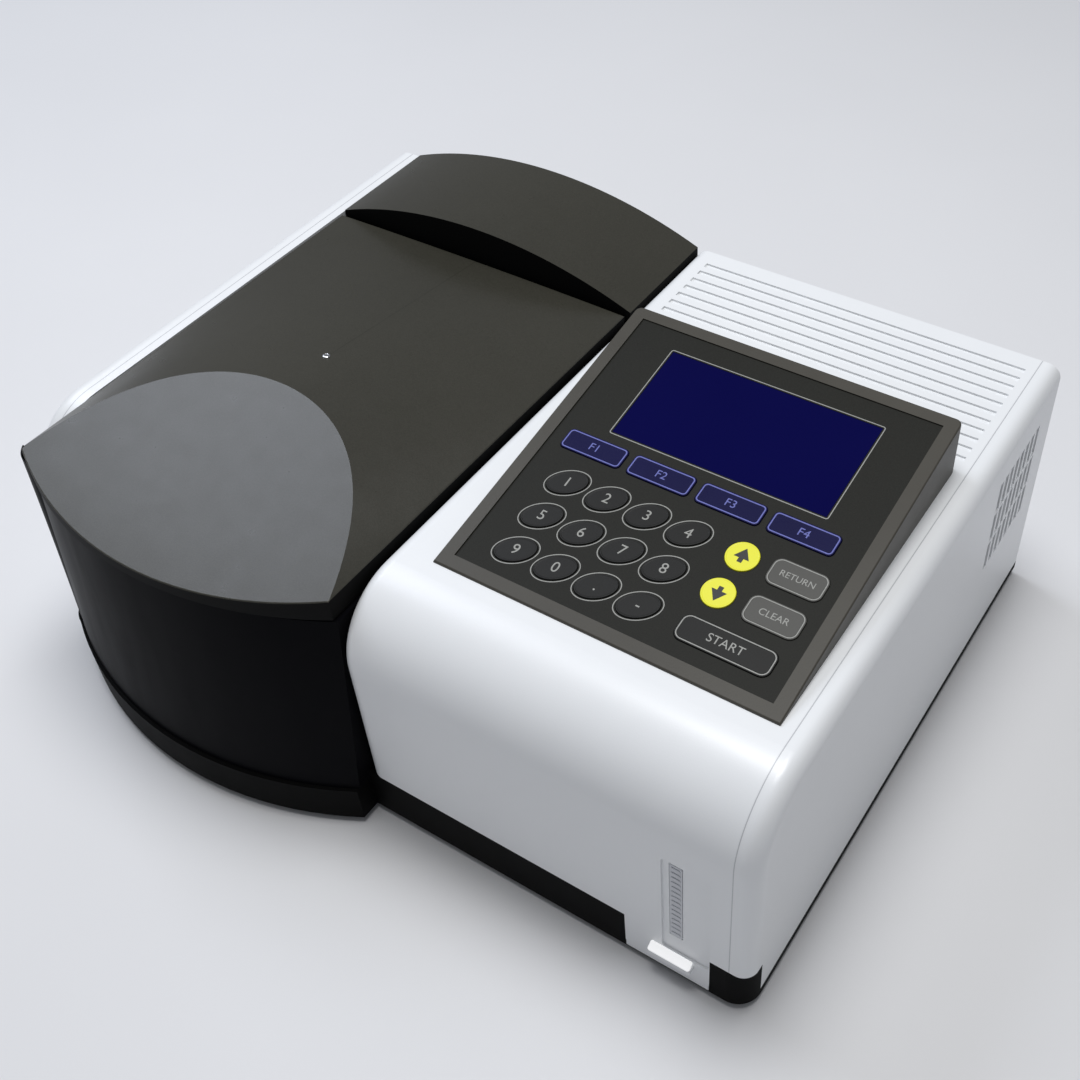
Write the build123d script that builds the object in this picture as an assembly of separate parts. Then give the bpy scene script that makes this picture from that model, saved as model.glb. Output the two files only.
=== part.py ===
from build123d import *
import os
from math import atan2, cos, pi, radians, sin, sqrt

os.makedirs("parts", exist_ok=True)

# A benchtop double-lamp spectrophotometer. Millimetres, +Z up, X across the front,
# -Y towards the user. The origin is the centre of the footprint, on the bench top.

# ---------------------------------------------------------------- driving dimensions
WIDTH = 500.0           # over the two white side casings
CASE_DEPTH = 370.0      # white casing, front face to rear edge
NOSE_REACH = 41.0       # how far the sample bay's front stands out past the casing
FOOT_H = 5.0            # rubber feet
CASE_H = 171.0          # underside of the pan to the flat white top
SKIN = 2.5              # moulded wall
RAIL_W = 19.0           # left side casing, seen from above
BAY_W = 231.0           # dark sample bay between the two casings
TOP_ROUND = 45.0        # large round where the front turns into the top
EDGE_ROUND = 9.0        # smaller round along the casing's side edges
BAND_H = 32.0           # black band of the pan under the casing's front
SIDE_BAND_H = 6.0       # the same band along the sides and rear
CROWN_RISE = 22.0       # how far the lid and the rear hood arch above the casing
BEAM_Y = -54.5          # the light beam runs along X at this Y
BEAM_Z = 105.0          # and at this height

# ---------------------------------------------------------------- places worked out
X_L = -WIDTH / 2
X_R = WIDTH / 2
Y_NOSE = -(CASE_DEPTH + NOSE_REACH) / 2
Y_F = Y_NOSE + NOSE_REACH
Y_B = Y_F + CASE_DEPTH
Z_B = FOOT_H
Z_T = FOOT_H + CASE_H
X_BAY_L = X_L + RAIL_W
X_BAY_R = X_BAY_L + BAY_W
X_MOD = X_BAY_R + 2.0                   # left face of the electronics casing
X_MID = (X_BAY_L + X_BAY_R) / 2         # centreline of the sample bay
Z_FLOOR = Z_B + SKIN                    # inside of the pan
Z_DECK = Z_T - 15.0                     # top of the deck round the sample well
Y_RAIL = Y_F + 16.0                     # front face of the left side casing
Y_HOOD = Y_F + 287.0                    # front face of the rear hood
BAY_BACK_Z = Z_DECK - 3.5               # the rear sheet stops here behind the bay


# ---------------------------------------------------------------- small shared shapes
def block(x0, x1, y0, y1, z0, z1):
    """A box from its six limits."""
    size = Box(x1 - x0, y1 - y0, z1 - z0)
    return Pos((x0 + x1) / 2, (y0 + y1) / 2, (z0 + z1) / 2) * size


def rod(radius, start, end):
    """A round bar between two points on a line along X, Y or Z."""
    a = Vector(*start)
    b = Vector(*end)
    return Plane(origin=a, z_dir=b - a) * extrude(Circle(radius), (b - a).length)


def save(shape, node):
    export_step(shape, f"parts/{node}.step")


# ---------------------------------------------------------------- white casings
def casing_block(x0, x1, y_front, inset, round_left, round_right):
    """Solid of a casing: flat top, big round at the front, softer side edges."""
    lo_x = x0 + inset
    hi_x = x1 - inset
    front = y_front + inset
    top = Z_T - inset
    big = TOP_ROUND - inset
    side = [(front, Z_B), (front, top - big)]
    turn = ThreePointArc(
        side[1],
        (front + big * (1 - cos(pi / 4)), top - big * (1 - sin(pi / 4))),
        (front + big, top),
    )
    rest = Polyline((front + big, top), (Y_B, top), (Y_B, Z_B), side[0])
    face = make_face([Line(*side), turn, rest])
    solid = Plane(origin=(lo_x, 0, 0), x_dir=(0, 1, 0), z_dir=(1, 0, 0)) * extrude(face, hi_x - lo_x)
    picked = []
    for edge in solid.edges():
        low = edge.bounding_box()
        outer_left = round_left and abs(low.min.X - lo_x) < 0.01 and abs(low.max.X - lo_x) < 0.01
        outer_right = round_right and abs(low.min.X - hi_x) < 0.01 and abs(low.max.X - hi_x) < 0.01
        on_profile = low.max.Z > Z_B + 1 and low.min.Y < Y_B - 1
        if (outer_left or outer_right) and on_profile:
            picked.append(edge)
    return fillet(picked, EDGE_ROUND - inset)


# Panel wedge on the casing's top: its front edge is low, its rear edge high.
PANEL_X0 = 28.0
PANEL_W = 202.5
PANEL_Y0 = Y_F + 54.5
PANEL_RUN = 202.0
PANEL_LOW = Z_T + 1.5
PANEL_HIGH = Z_T + 35.0
PANEL_TILT = atan2(PANEL_HIGH - PANEL_LOW, PANEL_RUN)
PANEL_LEN = PANEL_RUN / cos(PANEL_TILT)
PANEL = Plane(
    origin=(PANEL_X0, PANEL_Y0, PANEL_LOW),
    x_dir=(1, 0, 0),
    z_dir=(0, -sin(PANEL_TILT), cos(PANEL_TILT)),
)
RIM = 8.0               # visible rim of the bezel round the fascia
LEDGE = 3.0             # step that the fascia lies on

# Openings of the casing
VENT_PITCH = 8.9
VENT_COUNT = 11
VENT_DEPTH = 1.3        # the slots hide behind the front wall of each groove
TAB_X0 = X_R - 75.0
TAB_X1 = X_R - 23.5


def main_cover():
    """Right-hand casing: carries the panel, the vents and the beam opening."""
    shell = casing_block(X_MOD, X_R, Y_F, 0, True, True)
    shell -= casing_block(X_MOD, X_R, Y_F, SKIN, True, True)
    shell -= block(X_MOD - 1, X_R + 1, Y_F - 1, Y_B + 1, 0, Z_B + SIDE_BAND_H)
    # the front edge stops at the pan's black band, except at the tab
    for x0, x1 in ((X_MOD - 1, TAB_X0), (TAB_X1, X_R + 1)):
        shell -= block(x0, x1, Y_F - 1, Y_F + 13, 0, Z_B + BAND_H)
    shell += block(TAB_X0 + 0.3, TAB_X1 - 0.3, Y_F, Y_F + SKIN, Z_B + 1, Z_B + BAND_H + 4)
    # the wall beside the sample bay stops short of the rear sheet
    shell -= block(X_MOD - 1, X_MOD + SKIN + 0.4, REAR_Y - 0.3, Y_B + 1, 0, BAY_BACK_Z)
    # opening under the panel
    shell -= block(
        PANEL_X0 + RIM + LEDGE, PANEL_X0 + PANEL_W - RIM - LEDGE,
        PANEL_Y0 + RIM, PANEL_Y0 + PANEL_RUN - RIM - LEDGE, Z_T - 10, Z_T + 5,
    )
    # vent grooves across the rear of the top, each with a row of slots in its bottom
    y_first = PANEL_Y0 + PANEL_RUN + 8.0
    for i in range(VENT_COUNT):
        y = y_first + VENT_PITCH * i
        shell -= block(X_MOD + 14, X_R - 18, y, y + 4.0, Z_T - VENT_DEPTH, Z_T + 1)
        for j in range(3):
            x = X_MOD + 18 + 70 * j
            shell -= block(x, x + 64, y, y + 1.0, Z_T - 5, Z_T)
    # side outlet for the cooling fan: upright bars left standing in a sunk field
    for i in range(8):
        y = FAN_Y - 30.0 + 8.0 * i
        for j in range(3):
            z = FAN_Z - 35.5 + 24.0 * j
            shell -= block(X_R - 1.4, X_R + 1, y, y + 5.2, z, z + 22)
            shell -= block(X_R - 5, X_R + 1, y + 3.0, y + 5.2, z + 1, z + 21)
    # beam opening towards the sample bay
    shell -= rod(11, (X_MOD - 1, BEAM_Y, BEAM_Z), (X_MOD + 5, BEAM_Y, BEAM_Z))
    # shallow finger recess above the tab, its rib and the ledge at its foot
    recess = block(X_R - 52, X_R - 24, Y_F - 1, Y_F + 1.3, Z_B + 22, Z_B + 107)
    shell -= fillet(recess.edges().filter_by(Axis.Y), 3)
    shell -= block(X_R - 48, X_R - 40, Y_F + 1, Y_F + 1.9, Z_B + 36, Z_B + 104)
    ledge = block(X_R - 59, X_R - 33, Y_F - 4.2, Y_F + 1, Z_B + 14.5, Z_B + 18.5)
    shell += fillet(ledge.edges().filter_by(Axis.Z), 1.2)
    return shell


def left_side_panel():
    """Narrow left casing: one outer wall, a top strip and a lip beside the lid."""
    x_in = X_BAY_L - 0.5
    shell = casing_block(X_L, x_in, Y_RAIL, 0, True, False)
    hollow = casing_block(X_L, x_in, Y_RAIL, SKIN, True, False)
    shell -= hollow
    shell -= block(x_in - SKIN - 1, x_in + 1, Y_RAIL + SKIN, Y_B + 1, 0, BAY_BACK_Z)
    shell -= block(X_L - 1, x_in + 1, Y_RAIL - 1, Y_B + 1, 0, Z_B + SIDE_BAND_H)
    return shell


# ---------------------------------------------------------------- base pan and nose
NOSE_SEAM = Z_B + 26.0      # joint between the pan and the nose


def bay_front(apex, corner_x, corner_y, right_y, inset):
    """Front edges of the sample bay in plan, from the left side round to the casing."""
    left = (X_L + inset, Y_RAIL - 0.5 - inset)
    corner = (corner_x + 0.8 * inset, corner_y + 0.6 * inset)
    bulge = ((left[0] + corner[0]) / 2 - 3.2, (left[1] + corner[1]) / 2 - 2.0)
    front = (X_MID, apex + inset)
    right = (X_MOD - 0.5 - inset, right_y + inset)
    return [ThreePointArc(left, bulge, corner), ThreePointArc(corner, front, right)], left, right


def pan_outline(inset):
    """Footprint of the pan: a rounded rectangle with the bay's bowed front."""
    arcs, left, right = bay_front(Y_NOSE, X_L + 14, Y_F - 4.5, Y_F - 12, inset)
    turn = 14.0 - inset
    hi_x = X_R - inset
    lo_y = Y_F + inset
    hi_y = Y_B - inset
    corner = ThreePointArc(
        (hi_x - turn, lo_y),
        (hi_x - turn * (1 - sin(pi / 4)), lo_y + turn * (1 - cos(pi / 4))),
        (hi_x, lo_y + turn),
    )
    to_corner = Polyline(right, (right[0], lo_y), (hi_x - turn, lo_y))
    back = Polyline((hi_x, lo_y + turn), (hi_x, hi_y), (X_L + inset, hi_y), left)
    return make_face([*arcs, to_corner, corner, back])


def base_pan():
    """Black pan that everything stands in, with its high band at the front."""
    pan = extrude(Pos(0, 0, Z_B) * pan_outline(0), BAND_H)
    pan -= extrude(Pos(0, 0, Z_FLOOR) * pan_outline(SKIN), BAND_H)
    pan -= block(X_L - 1, X_R + 1, Y_F + 13, Y_B + 1, Z_B + SIDE_BAND_H, Z_T)
    pan -= block(X_L - 1, X_MOD - 0.5, Y_NOSE - 1, Y_F + 14, NOSE_SEAM, Z_T)
    pan -= block(TAB_X0, TAB_X1, Y_F - 1, Y_F + SKIN + 1, Z_B + 0.8, Z_T)
    # cooling slots in the floor, under the lamp house
    for i in range(6):
        x = 120 + 14 * i
        pan -= block(x, x + 5, 100, 170, Z_B - 1, Z_FLOOR + 1)
    return pan


def compartment_front():
    """Bowed black front of the sample bay; it leans out towards the bench."""
    def solid(inset, extra):
        low, l0, r0 = bay_front(Y_NOSE + 2.5, X_L + 14, Y_F - 2.5, Y_F - 9.5, inset)
        high, l1, r1 = bay_front(Y_NOSE + 16, X_BAY_L + 0.5, Y_F + 5.5, Y_F + 6, inset)
        rear = Y_RAIL + 20 + extra
        step = X_BAY_L + 0.5 + inset
        base = make_face([*low, Polyline(r0, (r0[0], rear), (step, rear), (step, l0[1]), l0)])
        rim = make_face([*high, Polyline(r1, (r1[0], rear), (step, rear), (step, l1[1]), l1)])
        z0 = NOSE_SEAM - extra
        z1 = Z_DECK + extra
        return loft([Pos(0, 0, z0) * base, Pos(0, 0, z1) * rim], ruled=True)

    nose = solid(0, 0)
    inner = solid(SKIN, 0.5)
    nose -= inner
    return nose


# ---------------------------------------------------------------- sample bay
WELL_X0 = X_L + 45.0
WELL_X1 = X_BAY_R - 15.0
WELL_Y0 = Y_F + 20.0
WELL_Y1 = Y_F + 200.0
WELL_Z = 65.0               # underside of the tub
DECK_T = 3.0


def compartment_deck():
    """Black deck under the lid, with the mouth of the sample well."""
    low, left, right = bay_front(Y_NOSE + 16 + SKIN + 0.3, X_BAY_L + 3.5, Y_F + 8.3, Y_F + 9, 0)
    x0 = X_BAY_L + 0.2
    start = (X_BAY_L + 3.5, Y_F + 8.3)
    stop = (X_MOD - 0.5 - SKIN - 0.3, Y_F + 9)
    arc = ThreePointArc(start, (X_MID, Y_NOSE + 16 + SKIN + 0.3), stop)
    y_back = Y_HOOD - 0.5
    wide = Y_RAIL + 21
    trail = Polyline(
        stop, (stop[0], wide), (X_MOD - 0.5, wide), (X_MOD - 0.5, y_back),
        (x0, y_back), (x0, wide), (start[0], wide), start,
    )
    deck = extrude(Pos(0, 0, Z_DECK - DECK_T) * make_face([arc, trail]), DECK_T)
    deck -= block(WELL_X0, WELL_X1, WELL_Y0, WELL_Y1, 0, Z_T)
    return deck


def sample_tub():
    """Light-tight tub that hangs from the deck; the beam crosses it along X."""
    z1 = Z_DECK - DECK_T
    tub = block(WELL_X0 - SKIN, WELL_X1 + SKIN, WELL_Y0 - SKIN, WELL_Y1 + SKIN, WELL_Z, z1)
    tub -= block(WELL_X0, WELL_X1, WELL_Y0, WELL_Y1, WELL_Z + SKIN, z1 + 1)
    tub -= rod(8, (WELL_X0 - 5, BEAM_Y, BEAM_Z), (WELL_X1 + 5, BEAM_Y, BEAM_Z))
    return tub


LID_GAP = 0.5
LID_REAR = Y_F + 283.4
LID_BOTTOM = Z_DECK + 1.0
PIVOT_Y = Y_F + 279.0
PIVOT_Z = Z_B + 165.0
PIN_R = 1.5
EAR_R = 3.2
HINGE_X = (X_MID - 74.0, X_MID + 74.0)
CROWN_HALF = BAY_W / 2
CROWN_EDGE = Z_T + 1.0
CROWN_R = (CROWN_HALF ** 2 + CROWN_RISE ** 2) / (2 * CROWN_RISE)


def crowned(x0, x1, y0, y1, z0, inset):
    """A bar along Y with an arched top, the common section of the lid and the hood."""
    peak = CROWN_EDGE + CROWN_RISE - inset
    radius = CROWN_R - inset

    def height(x):
        return peak - radius + sqrt(radius ** 2 - (x - X_MID) ** 2)

    arc = ThreePointArc((x0, height(x0)), (X_MID, peak), (x1, height(x1)))
    sides = Polyline((x1, height(x1)), (x1, z0), (x0, z0), (x0, height(x0)))
    return Plane(origin=(0, y1, 0), x_dir=(1, 0, 0), z_dir=(0, -1, 0)) * extrude(
        make_face([arc, sides]), y1 - y0
    )


LID_TAPER = 0.128       # the lid's arch sinks by this much per millimetre to the rear
FRONT_SLOPE = 0.232     # and its front facet rises at this slope
LID_CORNER_Y = Y_F + 4.0    # front corners of the lid
LID_BOW = 31.0          # its front bows out by this much beyond them
LID_STEP = 0.6          # the rear edge stands this far above the casing
LID_SKIN = 2.2
LID_FRONT_SKEW = 1.0    # the right corner lies this much further back


def arch_section(x0, x1, y, peak, edge, z0):
    """Section of the lid across the bay: an arch over straight sides."""
    arc = ThreePointArc((x0, edge), (X_MID, peak), (x1, edge))
    sides = Polyline((x1, edge), (x1, z0), (x0, z0), (x0, edge))
    return Plane(origin=(0, y, 0), x_dir=(1, 0, 0), z_dir=(0, -1, 0)) * make_face([arc, sides])


def lid_block(inset):
    """Solid of the lid: an arch that flattens to the rear, with a flat facet in front."""
    x0 = X_BAY_L + LID_GAP + inset
    x1 = X_BAY_R - LID_GAP - inset
    rear = LID_REAR - inset
    z0 = LID_BOTTOM - (1 if inset else 0)
    edge = Z_T - inset
    low = Z_T + LID_STEP - inset
    run = LID_REAR - Y_NOSE
    solid = loft([
        arch_section(x0, x1, rear, low, edge - LID_STEP, z0),
        arch_section(x0, x1, Y_NOSE, low + LID_TAPER * run, edge + 0.4, z0),
    ], ruled=True)
    # plan: straight sides and rear, bowed front
    start = (x0, LID_CORNER_Y + inset)
    stop = (x1, LID_CORNER_Y + LID_FRONT_SKEW + inset)
    bow = ThreePointArc(start, (X_MID, LID_CORNER_Y - LID_BOW + inset), stop)
    plan = make_face([bow, Polyline(stop, (x1, rear), (x0, rear), start)])
    solid = solid & extrude(Pos(0, 0, LID_BOTTOM - 2) * plan, 90)
    fall = atan2(FRONT_SLOPE, 1)
    front_cut = Plane(
        origin=(X_MID, LID_CORNER_Y, edge), x_dir=(1, 0, 0), z_dir=(0, -sin(fall), cos(fall))
    )
    return solid - front_cut * extrude(Rectangle(400, 900), 90)


SEAL_OUT = 9.0      # the gasket's outer edge outside the well's mouth
SEAL_W = 5.0
SEAL_H = 2.2


def seal_ring(z0, z1):
    x0 = WELL_X0 - SEAL_OUT
    x1 = WELL_X1 + SEAL_OUT
    y0 = WELL_Y0 - SEAL_OUT
    y1 = WELL_Y1 + SEAL_OUT
    ring = block(x0, x1, y0, y1, z0, z1)
    return ring - block(x0 + SEAL_W, x1 - SEAL_W, y0 + SEAL_W, y1 - SEAL_W, z0 - 1, z1 + 1)


LID_EDGE = 0.8


def inside_lid(edge):
    """True for the line where the facet meets the arch, which stays crisp."""
    mid = edge @ 0.5
    return abs(mid.X - X_MID) < 40 and Y_F + 20 < mid.Y < Y_F + 200


def lid():
    """Dark lid: thin shell with a light-trap rib inside and two hinge knuckles."""
    outer = lid_block(0)
    rim = outer.edges().filter_by(lambda e: e.bounding_box().min.Z > LID_BOTTOM + 5)
    outer = fillet(rim.filter_by(lambda e: not inside_lid(e)), LID_EDGE)
    shell = outer - lid_block(LID_SKIN)
    core = lid_block(LID_SKIN / 2)
    shell += seal_ring(Z_DECK + SEAL_H + 0.3, Z_T + 60) & core
    # the rear skirt is cut short so that it swings clear of the deck
    shell -= block(X_BAY_L - 1, X_BAY_R + 1, Y_F + 268, Y_HOOD, Z_DECK - 5, Z_B + 160)
    for x in HINGE_X:
        knuckle = rod(EAR_R, (x - 6, PIVOT_Y, PIVOT_Z), (x + 6, PIVOT_Y, PIVOT_Z))
        web = block(x - 6, x + 6, PIVOT_Y - EAR_R, PIVOT_Y + EAR_R, PIVOT_Z, Z_T + 10) & core
        shell -= block(x - 13, x + 13, PIVOT_Y + 1.9, Y_HOOD, Z_DECK - 5, Z_B + 168.4)
        shell += knuckle + web
        shell -= rod(PIN_R + 0.05, (x - 7, PIVOT_Y, PIVOT_Z), (x + 7, PIVOT_Y, PIVOT_Z))
    return shell


def lid_seal():
    """Foam gasket on the deck, under the lid's light-trap rib."""
    return seal_ring(Z_DECK, Z_DECK + SEAL_H)


def hinge_brackets():
    """Two black brackets on the deck; each has two ears that hold a pin."""
    group = []
    for x in HINGE_X:
        foot = block(x - 11.5, x + 11.5, PIVOT_Y - 12, PIVOT_Y + 4, Z_DECK, Z_DECK + 2)
        for side in (-1, 1):
            inner = x + side * 7.0
            outer = x + side * 11.0
            lo = min(inner, outer)
            hi = max(inner, outer)
            ear = rod(EAR_R, (lo, PIVOT_Y, PIVOT_Z), (hi, PIVOT_Y, PIVOT_Z))
            ear += block(lo, hi, PIVOT_Y - EAR_R, PIVOT_Y + EAR_R, Z_DECK + 1, PIVOT_Z)
            foot += ear
        foot -= rod(PIN_R, (x - 13, PIVOT_Y, PIVOT_Z), (x + 13, PIVOT_Y, PIVOT_Z))
        group.append(foot)
    return Compound(group)


def hinge_pins():
    """Steel pins, pressed in the ears and free in the lid's knuckles."""
    return Compound([
        rod(PIN_R, (x - 11.4, PIVOT_Y, PIVOT_Z), (x + 11.4, PIVOT_Y, PIVOT_Z)) for x in HINGE_X
    ])


def rear_hood():
    """Fixed crowned cover behind the lid; its front face shows as a dark crescent."""
    x0 = X_BAY_L + 0.2
    x1 = X_MOD - 0.3
    bottom = BAY_BACK_Z
    hood = crowned(x0, x1, Y_HOOD, Y_B, bottom, 0)
    hood -= crowned(x0 + SKIN, x1 - SKIN, Y_HOOD + SKIN, Y_B - SKIN, bottom - 1, SKIN)
    return hood


# ---------------------------------------------------------------- cell carriage
CELL_PITCH = 18.0
CELL_SIDE = 12.6
CELL_COUNT = 4
CARRIAGE_X = (WELL_X0 + WELL_X1) / 2
ROD_R = 3.0
ROD_OFFSET = 13.0
ROD_Z = 74.5
CARRIAGE_Y0 = BEAM_Y - 13.0
CARRIAGE_Y1 = BEAM_Y + CELL_PITCH * (CELL_COUNT - 1) + 13.0


def cell_carriage():
    """Aluminium block with four cuvette places, riding on two rods."""
    x = CARRIAGE_X
    body = block(x - 11, x + 11, CARRIAGE_Y0, CARRIAGE_Y1, 78, 115)
    body += block(x - 20, x + 20, CARRIAGE_Y0, CARRIAGE_Y1, 69.5, 80)
    for i in range(CELL_COUNT):
        y = BEAM_Y + CELL_PITCH * i
        half = CELL_SIDE / 2
        body -= block(x - half, x + half, y - half, y + half, 81, 116)
        body -= rod(4, (x - 12, y, BEAM_Z), (x + 12, y, BEAM_Z))
    for side in (-1, 1):
        rod_x = x + side * ROD_OFFSET
        body -= rod(ROD_R + 0.05, (rod_x, CARRIAGE_Y0 - 1, ROD_Z), (rod_x, CARRIAGE_Y1 + 1, ROD_Z))
    return body


def carriage_rails():
    """Two ground steel rods along the well."""
    return Compound([
        rod(ROD_R, (CARRIAGE_X + s * ROD_OFFSET, WELL_Y0, ROD_Z),
            (CARRIAGE_X + s * ROD_OFFSET, WELL_Y1, ROD_Z))
        for s in (-1, 1)
    ])


# ---------------------------------------------------------------- control panel
FASCIA_DROP = 0.8       # fascia lies this far below the rim
FASCIA_T = 1.5
KEY_GAP = 0.25
KEY_TRAVEL = 0.6
SHEET_X0 = RIM
SHEET_X1 = PANEL_W - RIM
SHEET_S0 = RIM
SHEET_S1 = PANEL_LEN - RIM


def panel_bezel():
    """Wedge-shaped frame that tilts the fascia towards the user."""
    side = make_face(Polyline(
        (PANEL_Y0, Z_T), (PANEL_Y0, PANEL_LOW),
        (PANEL_Y0 + PANEL_RUN, PANEL_HIGH), (PANEL_Y0 + PANEL_RUN, Z_T), close=True,
    ))
    plane = Plane(origin=(PANEL_X0, 0, 0), x_dir=(0, 1, 0), z_dir=(1, 0, 0))
    wedge = plane * extrude(side, PANEL_W)
    rear = wedge.edges().filter_by(Axis.Z).sort_by(Axis.Y)[-2:]
    wedge = fillet(rear, 4)
    top = wedge.faces().sort_by(Axis.Z)[-1]
    wedge = fillet(top.edges(), 1.0)
    seat = PANEL * block(SHEET_X0, SHEET_X1, SHEET_S0, SHEET_S1, -FASCIA_DROP - FASCIA_T, 30)
    hole = PANEL * block(
        SHEET_X0 + LEDGE, SHEET_X1 - LEDGE, SHEET_S0 + LEDGE, SHEET_S1 - LEDGE, -80, 30
    )
    well = block(
        PANEL_X0 + RIM + LEDGE, PANEL_X0 + PANEL_W - RIM - LEDGE,
        PANEL_Y0 + RIM + LEDGE, PANEL_Y0 + PANEL_RUN - 5, 0, PANEL_HIGH - 14,
    )
    return wedge - seat - (hole & block(0, X_R, Y_F, PANEL_Y0 + PANEL_RUN - 5, 0, 300)) - (
        well & block(0, X_R, PANEL_Y0 + 70, Y_B, 0, Z_T + 8)
    )


# Keys: name, centre across the panel, centre up the slope, shape
F_X = [35.1 + 42.2 * i for i in range(4)]
F_S = 101.4
NUM_X = [34.8 + 24.9 * i for i in range(4)]
NUM_S = [74.9, 50.25, 25.6]
NUM_NAMES = [["1", "2", "3", "4"], ["5", "6", "7", "8"], ["9", "0", "point", "minus"]]
OVAL_A = 13.0
OVAL_B = 8.0
OVAL_TURN = 32.0
ARROW_X = 141.0
ROUND_R = 9.0
PAIR_X = 172.0
WIDE_X = 159.0


def oval(grow):
    return Rot(0, 0, OVAL_TURN) * Ellipse(OVAL_A - 1.5 + grow, OVAL_B - 0.5 + grow)


def tile(width, height, corner, grow):
    return RectangleRounded(width + 2 * grow, height + 2 * grow, corner + grow)


def key_shapes():
    """Every key as (node name, centre x, centre s, outline grown by a given amount)."""
    keys = []
    for i, x in enumerate(F_X):
        keys.append((f"key_f{i + 1}", x, F_S, lambda grow: tile(38, 14, 3, grow)))
    for row, s in enumerate(NUM_S):
        for col, x in enumerate(NUM_X):
            keys.append((f"key_{NUM_NAMES[row][col]}", x, s, oval))
    keys.append(("key_up", ARROW_X, NUM_S[0], lambda grow: Circle(ROUND_R + grow)))
    keys.append(("key_down", ARROW_X, NUM_S[1], lambda grow: Circle(ROUND_R + grow)))
    keys.append(("key_return", PAIR_X, NUM_S[0], lambda grow: tile(31, 17, 5, grow)))
    keys.append(("key_clear", PAIR_X, NUM_S[1], lambda grow: tile(31, 17, 5, grow)))
    keys.append(("key_start", WIDE_X, NUM_S[2], lambda grow: tile(53, 16, 5, grow)))
    return keys


SCREEN_X0 = 37.0
SCREEN_X1 = 167.0
SCREEN_S0 = 116.0
SCREEN_S1 = 182.0


def panel_fascia():
    """Printed sheet of the panel, pierced for the screen and for every key."""
    low = -FASCIA_DROP - FASCIA_T
    sheet = block(SHEET_X0 + 0.2, SHEET_X1 - 0.2, SHEET_S0 + 0.2, SHEET_S1 - 0.2, low, -FASCIA_DROP)
    for _, x, s, outline in key_shapes():
        sheet -= Pos(x, s, low - 1) * extrude(outline(KEY_GAP), FASCIA_T + 2)
    sheet -= block(SCREEN_X0, SCREEN_X1, SCREEN_S0, SCREEN_S1, low - 1, 1)
    return PANEL * sheet


def key(outline):
    """One key cap with the flange that keeps it under the fascia."""
    flange_top = -FASCIA_DROP - FASCIA_T - 0.3
    cap = Pos(0, 0, flange_top) * extrude(outline(0), -flange_top)
    cap = chamfer(cap.faces().sort_by(Axis.Z)[-1].edges(), 0.35)
    return cap + Pos(0, 0, flange_top - 0.8) * extrude(outline(1.0), 0.8)


def display_window():
    """Glass of the screen, let into the fascia."""
    glass = block(
        SCREEN_X0 + 0.2, SCREEN_X1 - 0.2, SCREEN_S0 + 0.2, SCREEN_S1 - 0.2,
        -FASCIA_DROP - FASCIA_T, -FASCIA_DROP - 0.1,
    )
    return PANEL * glass


def lcd_module():
    """Graphic display module behind the glass, in its pressed frame."""
    top = -FASCIA_DROP - FASCIA_T - 0.2
    frame = block(SCREEN_X0 - 3, SCREEN_X1 + 3, SCREEN_S0 - 3, SCREEN_S1 + 3, top - 9, top)
    frame -= block(SCREEN_X0 + 2, SCREEN_X1 - 2, SCREEN_S0 + 2, SCREEN_S1 - 2, top - 1, top + 1)
    return PANEL * frame


def panel_board():
    """Circuit board under the keys, open where the display module sits."""
    top = -FASCIA_DROP - FASCIA_T - 0.3 - 0.8 - KEY_TRAVEL - 0.4
    board = block(SHEET_X0 + 5, SHEET_X1 - 5, SHEET_S0 + 5, SHEET_S1 - 5, top - 1.6, top)
    board -= block(SCREEN_X0 - 4, SCREEN_X1 + 4, SCREEN_S0 - 4, SCREEN_S1 + 4, top - 3, top + 1)
    return PANEL * board


# ---------------------------------------------------------------- rear panel
REAR_Y = Y_B - 6.5          # inner face of the rear sheet
REAR_T = 2.0
FAN_Y = Y_F + 315.0
FAN_Z = Z_B + 110.0
INLET_X = -160.0
INLET_Z = 52.0
SWITCH_Z = INLET_Z + 33.0
FLANGE_T = 1.8
ROCKER_W = 20.0
PORT_X = (60.0, 110.0)
PORT_Z = 38.0


def rear_panel():
    """Grey steel sheet that closes the rear and carries the connectors."""
    clear = SKIN + 0.3
    panel = block(X_L + clear, X_R - clear, REAR_Y, REAR_Y + REAR_T, Z_B + SIDE_BAND_H, Z_T - clear)
    panel = fillet(panel.edges().filter_by(Axis.Y).sort_by(Axis.Z)[-2:], EDGE_ROUND - SKIN)
    panel -= block(
        X_BAY_L - 0.5 - clear, X_MOD + clear + 6, REAR_Y - 1, Y_B, BAY_BACK_Z - 0.3, Z_T
    )
    panel -= block(INLET_X - 14.2, INLET_X + 14.2, REAR_Y - 1, Y_B, INLET_Z - 24.2, SWITCH_Z + 12.2)
    panel -= block(PORT_X[0] - 9.7, PORT_X[0] + 9.7, REAR_Y - 1, Y_B, PORT_Z - 5.2, PORT_Z + 5.2)
    panel -= block(PORT_X[1] - 7.2, PORT_X[1] + 7.2, REAR_Y - 1, Y_B, PORT_Z - 3.7, PORT_Z + 3.7)
    # vents behind the lamp house
    for i in range(9):
        x = 110 + 11 * i
        panel -= block(x, x + 4, REAR_Y - 1, Y_B, 105, 145)
    return panel


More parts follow.
